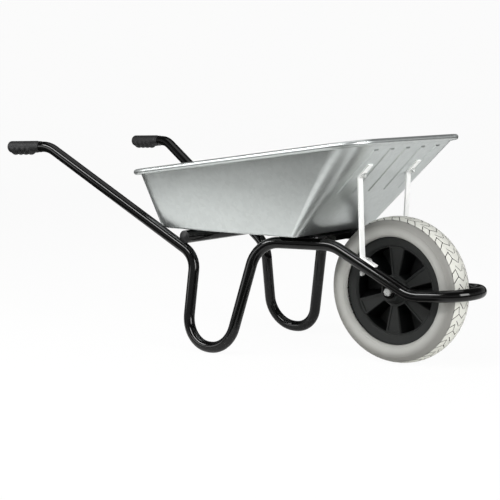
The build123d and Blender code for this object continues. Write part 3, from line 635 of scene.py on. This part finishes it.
levels = {}
for face, sunk in zip(flat_faces, flat_sunk):
    for a, b in zip(face, face[1:] + face[:1]):
        levels.setdefault(frozenset((a, b)), set()).add(sunk)
for k in range(TREAD_REPEATS):
    for face, sunk in zip(flat_faces, flat_sunk):
        outside = abs(sum(flat_points[i].y for i in face)) > TREAD_EDGE * len(face)
        top = form.faces.new([corner(k, i, sunk) for i in face])
        top.material_index = GROOVE if sunk else WALL if outside else TREAD
        for a, b in zip(face, face[1:] + face[:1]):
            if sunk and len(levels[frozenset((a, b))]) == 2:
                drop = [(b, True), (a, True), (a, False), (b, False)]
                form.faces.new([corner(k, i, low) for i, low in drop]).material_index = GROOVE
print(len(form.faces), "faces in the tread")

# %% Turn the side walls and weld the skin
WALL_TURNS = TREAD_REPEATS * GRID_S
WELD = 1e-5
CREASE = radians(40)

for side in (-1, 1):
    rings = [
        [form.verts.new(around(side * y, r, REPEAT * i / GRID_S)) for i in range(WALL_TURNS)]
        for y, r in wall_profile
    ]
    for upper, lower in zip(rings, rings[1:]):
        for i in range(WALL_TURNS):
            form.faces.new([upper[i - 1], upper[i], lower[i], lower[i - 1]])
bmesh.ops.remove_doubles(form, verts=form.verts, dist=WELD)
bmesh.ops.recalc_face_normals(form, faces=form.faces)
for face in form.faces:
    face.smooth = True
tyre_mesh = bpy.data.meshes.new("moulded_tyre")
form.to_mesh(tyre_mesh)
form.free()
tyre_mesh.set_sharp_from_angle(angle=CREASE)
for material in (wall_rubber, tread_rubber, groove_shade_rubber):
    tyre_mesh.materials.append(material)
moulded_tyre = bpy.data.objects.new("moulded_tyre", tyre_mesh)
bpy.context.scene.collection.objects.link(moulded_tyre)
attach(moulded_tyre, "wheel")
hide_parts("tyre")
print("tyre:", len(tyre_mesh.polygons), "faces, repeats of", round(REPEAT * 1000, 1), "mm")

# %% [markdown]
# ## The grips
# A grip is a soft PVC sleeve, moulded round a pin and pushed over the end of the handle. Four rounded
# ridges underneath part the fingers, and they die away up the sides. A boolean would leave hard
# creases where a ridge meets the sleeve. Here rings of points are laid along the handle instead, and
# each ring swells downwards near a ridge, so that the ridges run into the sleeve as rubber does.

# %% The sleeve and its ridges
GRIP_LENGTH = 0.130
GRIP_R = 0.0183
GRIP_END_R = 0.006
COLLAR_LENGTH, COLLAR_STEP = 0.015, 0.0012
RIDGES, RIDGE_FIRST, RIDGE_PITCH = 4, 0.0215, 0.0223
RIDGE_HALF, RIDGE_RISE = 0.0078, 0.0068


def sleeve_radius(s):
    """The plain sleeve's radius at s from its closed end: a rounded end, a barrel, a thin collar."""
    if s < GRIP_END_R:
        return GRIP_R - GRIP_END_R + sqrt(GRIP_END_R**2 - (GRIP_END_R - s) ** 2)
    past_barrel = s - GRIP_LENGTH + COLLAR_LENGTH
    return GRIP_R - min(COLLAR_STEP, max(0.0, past_barrel))


def ridge_rise(s):
    """How far a ridge stands off the sleeve at s, straight below the handle."""
    nearest = min(abs(s - RIDGE_FIRST - RIDGE_PITCH * i) for i in range(RIDGES))
    return RIDGE_RISE * sqrt(max(0.0, 1 - (nearest / RIDGE_HALF) ** 2))


print("a grip has", RIDGES, "ridges", round(RIDGE_PITCH * 1000, 1), "mm apart")

# %% Mould the grips
# On the middle line of the left handle: where the grip ends, and the bend that it points to.
GRIP_END, HANDLE_BEND = Vector((-0.75725, 0.277, 0.583)), Vector((-0.59325, 0.263, 0.585))
TUBE_R = 0.01605
RING_POINTS, RING_GAP = 64, 0.001
END_RINGS, END_TURN = 6, radians(15)
LIP_CREASE = radians(50)

turns = [2 * pi * i / RING_POINTS for i in range(RING_POINTS)]
reaches = [GRIP_END_R * (1 - cos(END_TURN * i)) for i in range(END_RINGS)]
barrel_rings = round((GRIP_LENGTH - GRIP_END_R) / RING_GAP) + 1
reaches += [GRIP_END_R + RING_GAP * i for i in range(barrel_rings)]
for side, mirror in (("right", Vector((1, -1, 1))), ("left", Vector((1, 1, 1)))):
    end = GRIP_END * mirror
    along = ((HANDLE_BEND - GRIP_END) * mirror).normalized()
    level = along.cross(Vector((0, 0, 1))).normalized()
    down = along.cross(level)
    sleeve = [
        [(s, sleeve_radius(s) + ridge_rise(s) * max(0.0, cos(a)), a) for a in turns] for s in reaches
    ]
    sleeve.append([(GRIP_LENGTH, TUBE_R, a) for a in turns])
    form = bmesh.new()
    rings = [
        [form.verts.new(end + along * s + (down * cos(a) + level * sin(a)) * r) for s, r, a in ring]
        for ring in sleeve
    ]
    form.faces.new(rings[0])
    for first, second in zip(rings, rings[1:]):
        for i in range(RING_POINTS):
            form.faces.new([first[i - 1], first[i], second[i], second[i - 1]])
    bmesh.ops.recalc_face_normals(form, faces=form.faces)
    for face in form.faces:
        face.smooth = True
    grip_mesh = bpy.data.meshes.new(side + "_moulded_grip")
    form.to_mesh(grip_mesh)
    form.free()
    grip_mesh.set_sharp_from_angle(angle=LIP_CREASE)
    grip_mesh.materials.append(grip_pvc)
    grip = bpy.data.objects.new(side + "_moulded_grip", grip_mesh)
    bpy.context.scene.collection.objects.link(grip)
    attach(grip, "frame")
    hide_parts(side + "_grip")
    print(grip.name, len(grip_mesh.polygons), "faces")

# %% [markdown]
# ## The studio's paper
# The barrow stands on a plain white floor that runs up into a backdrop. To the camera the paper glows
# almost to plain white, and it still takes a soft shadow. What the tray mirrors matters more: metal is
# as dark as what it reflects. So for mirrored rays the floor turns dark grey a step away from the
# barrow, and a grey patch beside the wheel is painted shadow under the nose, seen only in reflections.

# %% White paper with painted shadow for reflections
SEEN_GLOW = 0.95  # how far the paper is lifted to plain white where the camera sees it
MIRROR_GLOW = 0.3  # and where a shiny surface mirrors it, close to the barrow
PAPER_MIDDLE = (0.0, 0.7, 0.0)
PAPER_IN, PAPER_OUT = 1.38, 1.46  # metres from that middle, between which the mirrored floor turns dark grey
SHADOW_PATCH_MIDDLE = (0.47, -0.26, 0.0)
SHADOW_PATCH_IN, SHADOW_PATCH_OUT = 0.12, 0.30  # metres from its middle, between which the painted shadow patch fades out

stage_white, tree = start("matt_white_sweep")
ray = add(tree, "LightPath")
place = add(tree, "TexCoord").outputs["Object"]
from_paper = add(tree, "VectorMath", {0: place, 1: PAPER_MIDDLE}, operation="DISTANCE")
from_shadow_patch = add(tree, "VectorMath", {0: place, 1: SHADOW_PATCH_MIDDLE}, operation="DISTANCE")
beyond = add(
    tree,
    "MapRange",
    {"Value": from_paper.outputs["Value"], "From Min": PAPER_IN, "From Max": PAPER_OUT},
    interpolation_type="SMOOTHSTEP",
)
on_shadow_patch = add(
    tree,
    "MapRange",
    {"Value": from_shadow_patch.outputs["Value"], "From Min": SHADOW_PATCH_OUT, "From Max": SHADOW_PATCH_IN},
    interpolation_type="SMOOTHSTEP",
)
off_paper_or_shadow_patch = add(
    tree,
    "Math",
    {0: beyond.outputs["Result"], 1: on_shadow_patch.outputs["Result"]},
    operation="MAXIMUM",
)
mirrored = add(
    tree,
    "Math",
    {0: ray.outputs["Is Glossy Ray"], 1: ray.outputs["Is Transmission Ray"]},
    operation="MAXIMUM",
)
mirrored_dark = add(
    tree,
    "Math",
    {0: mirrored.outputs["Value"], 1: off_paper_or_shadow_patch.outputs["Value"]},
    operation="MULTIPLY",
)
mirrored_white = add(
    tree,
    "Math",
    {0: mirrored.outputs["Value"], 1: mirrored_dark.outputs["Value"]},
    operation="SUBTRACT",
)
seen_glow = add(tree, "Math", {0: ray.outputs["Is Camera Ray"], 1: SEEN_GLOW}, operation="MULTIPLY")
glow = add(
    tree,
    "Math",
    {0: mirrored_white.outputs["Value"], 1: MIRROR_GLOW, 2: seen_glow.outputs["Value"]},
    operation="MULTIPLY_ADD",
)
# Painted shadow: mirrored rays see dark grey off the white ring and on the patch beside the wheel.
ground = add(
    tree,
    "Mix",
    {0: mirrored_dark.outputs["Value"], 6: linear("#F4F4F2"), 7: linear("#444442")},
    data_type="RGBA",
)
matt = add(tree, "BsdfDiffuse", {"Color": ground.outputs[2]})
white = add(tree, "Emission", {"Color": linear("#FFFFFF"), "Strength": 1.0})
both = add(
    tree,
    "MixShader",
    {0: glow.outputs["Value"], 1: matt.outputs["BSDF"], 2: white.outputs["Emission"]},
)
add(tree, "OutputMaterial", {"Surface": both.outputs["Shader"]})
print(stage_white.name, len(tree.nodes), "nodes")

# %% [markdown]
# ## The sweep
# Photographers hang a wide roll of paper from a bar and let it run out over the floor, so that there
# is no corner to see. A profile of the roll, drawn once and given two ends, makes it in one strip of
# faces. It stands square to the camera, so it turns by the camera's own angle.

# %% Floor and backdrop in one sweep
SWEEP_HALF = 9.0
SWEEP_RISE = 2.0
SWEEP_BEND = 1.5
SWEEP_BACK = 8.0  # from the barrow to the wall behind it, away from the camera
BEND_STEPS = 9
YAW, PITCH, ROLL = radians(39.43), radians(6.61), radians(-0.96)

profile = [(-SWEEP_HALF, 0.0), (SWEEP_BACK - SWEEP_BEND, 0.0)]
profile += [
    (SWEEP_BACK - SWEEP_BEND * (1 - sin(a)), SWEEP_BEND * (1 - cos(a)))
    for a in (pi / 2 * i / BEND_STEPS for i in range(1, BEND_STEPS + 1))
]
profile.append((SWEEP_BACK, SWEEP_RISE))
turn = Matrix.Rotation(YAW, 4, "Z")
points = [turn @ Vector((side * SWEEP_HALF, back, z)) for back, z in profile for side in (-1, 1)]
faces = [(2 * i, 2 * i + 1, 2 * i + 3, 2 * i + 2) for i in range(len(profile) - 1)]
sweep_mesh = bpy.data.meshes.new("studio_sweep")
sweep_mesh.from_pydata(points, [], faces)
sweep_mesh.shade_smooth()
sweep_mesh.materials.append(stage_white)
studio_sweep = bpy.data.objects.new("studio_sweep", sweep_mesh)
bpy.context.scene.collection.objects.link(studio_sweep)
print("sweep of", len(faces), "strips")

# %% [markdown]
# ## The room and its lamps
# Gloss black paint looks black only when most of what it mirrors is dark. So the room is a dim grey,
# darkest overhead, although the camera sees white there. A long strip lamp draws the streaks on the
# tubes, a softbox lights the wheel from the front, a large one overhead fills the tray, and a low one
# whitens the rolled rim. Lamps this large leave only soft shadows.

# %% The room
ROOM_WALL = 0.4  # brightness of the room at eye level
ROOM_CEILING = 0.05
EYE_LEVEL, OVERHEAD = 0.1, 0.6  # how steeply up a ray goes, as its rise per unit of length

room = bpy.data.worlds.new("grey_room")
room.use_nodes = True
tree = room.node_tree
tree.nodes.clear()
ray = add(tree, "LightPath")
way = add(tree, "SeparateXYZ", {"Vector": add(tree, "TexCoord").outputs["Generated"]})
level = add(
    tree,
    "MapRange",
    {
        "Value": way.outputs["Z"],
        "From Min": EYE_LEVEL,
        "From Max": OVERHEAD,
        "To Min": ROOM_WALL,
        "To Max": ROOM_CEILING,
    },
    interpolation_type="SMOOTHSTEP",
)
shown = add(
    tree,
    "Mix",
    {0: ray.outputs["Is Camera Ray"], 2: level.outputs["Result"], 3: 1.0},
    data_type="FLOAT",
)
sky = add(tree, "Background", {"Color": linear("#FFFFFF"), "Strength": shown.outputs[0]})
add(tree, "OutputWorld", {"Surface": sky.outputs["Background"]})
bpy.context.scene.world = room
print(room.name, "from", ROOM_WALL, "down to", ROOM_CEILING)

# %% The lamps
# Name, place, size in metres, watts.
LAMPS = [
    ("key_strip", (-0.5, -2.3, 2.2), (3.4, 0.5), 84.0),
    ("wheel_side_softbox", (3.1, -0.6, 1.2), (1.4, 1.4), 62.0),
    ("top_softbox", (-0.2, 0.2, 3.2), (3.0, 2.4), 22.0),
    ("low_fill", (-2.2, -2.7, 0.9), (1.8, 1.2), 16.0),
]
AIM = Vector((0.0, 0.0, 0.3))
for name, spot, size, watts in LAMPS:
    lamp = bpy.data.lights.new(name, "AREA")
    lamp.shape = "RECTANGLE"
    lamp.size, lamp.size_y = size
    lamp.energy = watts
    holder = bpy.data.objects.new(name, lamp)
    holder.location = spot
    holder.rotation_euler = (AIM - Vector(spot)).to_track_quat("-Z", "Y").to_euler()
    bpy.context.scene.collection.objects.link(holder)
print(len(LAMPS), "lamps")

# %% [markdown]
# ## The camera
# The picture was taken from the wheel's right, a little above the tray, with a long lens. The three
# angles and the distance were solved from the straight parts of the frame, so the camera is set from
# them directly. The picture was cropped slightly low, which the lens shift repeats.

# %% Camera
FILM_MM, LENS_MM = 36.0, 89.107
LENS_SHIFT = -0.0122
CAMERA_AT = (2.30215, -2.8204, 0.7157)

lens = bpy.data.cameras.new("photo_camera")
lens.sensor_width = FILM_MM
lens.lens = LENS_MM
lens.shift_y = LENS_SHIFT
camera = bpy.data.objects.new("photo_camera", lens)
back = Vector((sin(YAW) * cos(PITCH), -cos(YAW) * cos(PITCH), sin(PITCH)))
right = Vector((cos(YAW), sin(YAW), 0.0))
stand = Matrix((right, back.cross(right), back)).transposed().to_4x4()
camera.matrix_world = Matrix.Translation(CAMERA_AT) @ stand @ Matrix.Rotation(ROLL, 4, "Z")
bpy.context.scene.collection.objects.link(camera)
bpy.context.scene.camera = camera
print("camera", [round(v, 3) for v in camera.location])

# %% [markdown]
# ## Finish
# The Standard view transform keeps a colour as it was written.

# %% View
import json

bpy.context.scene.view_settings.view_transform = "Standard"
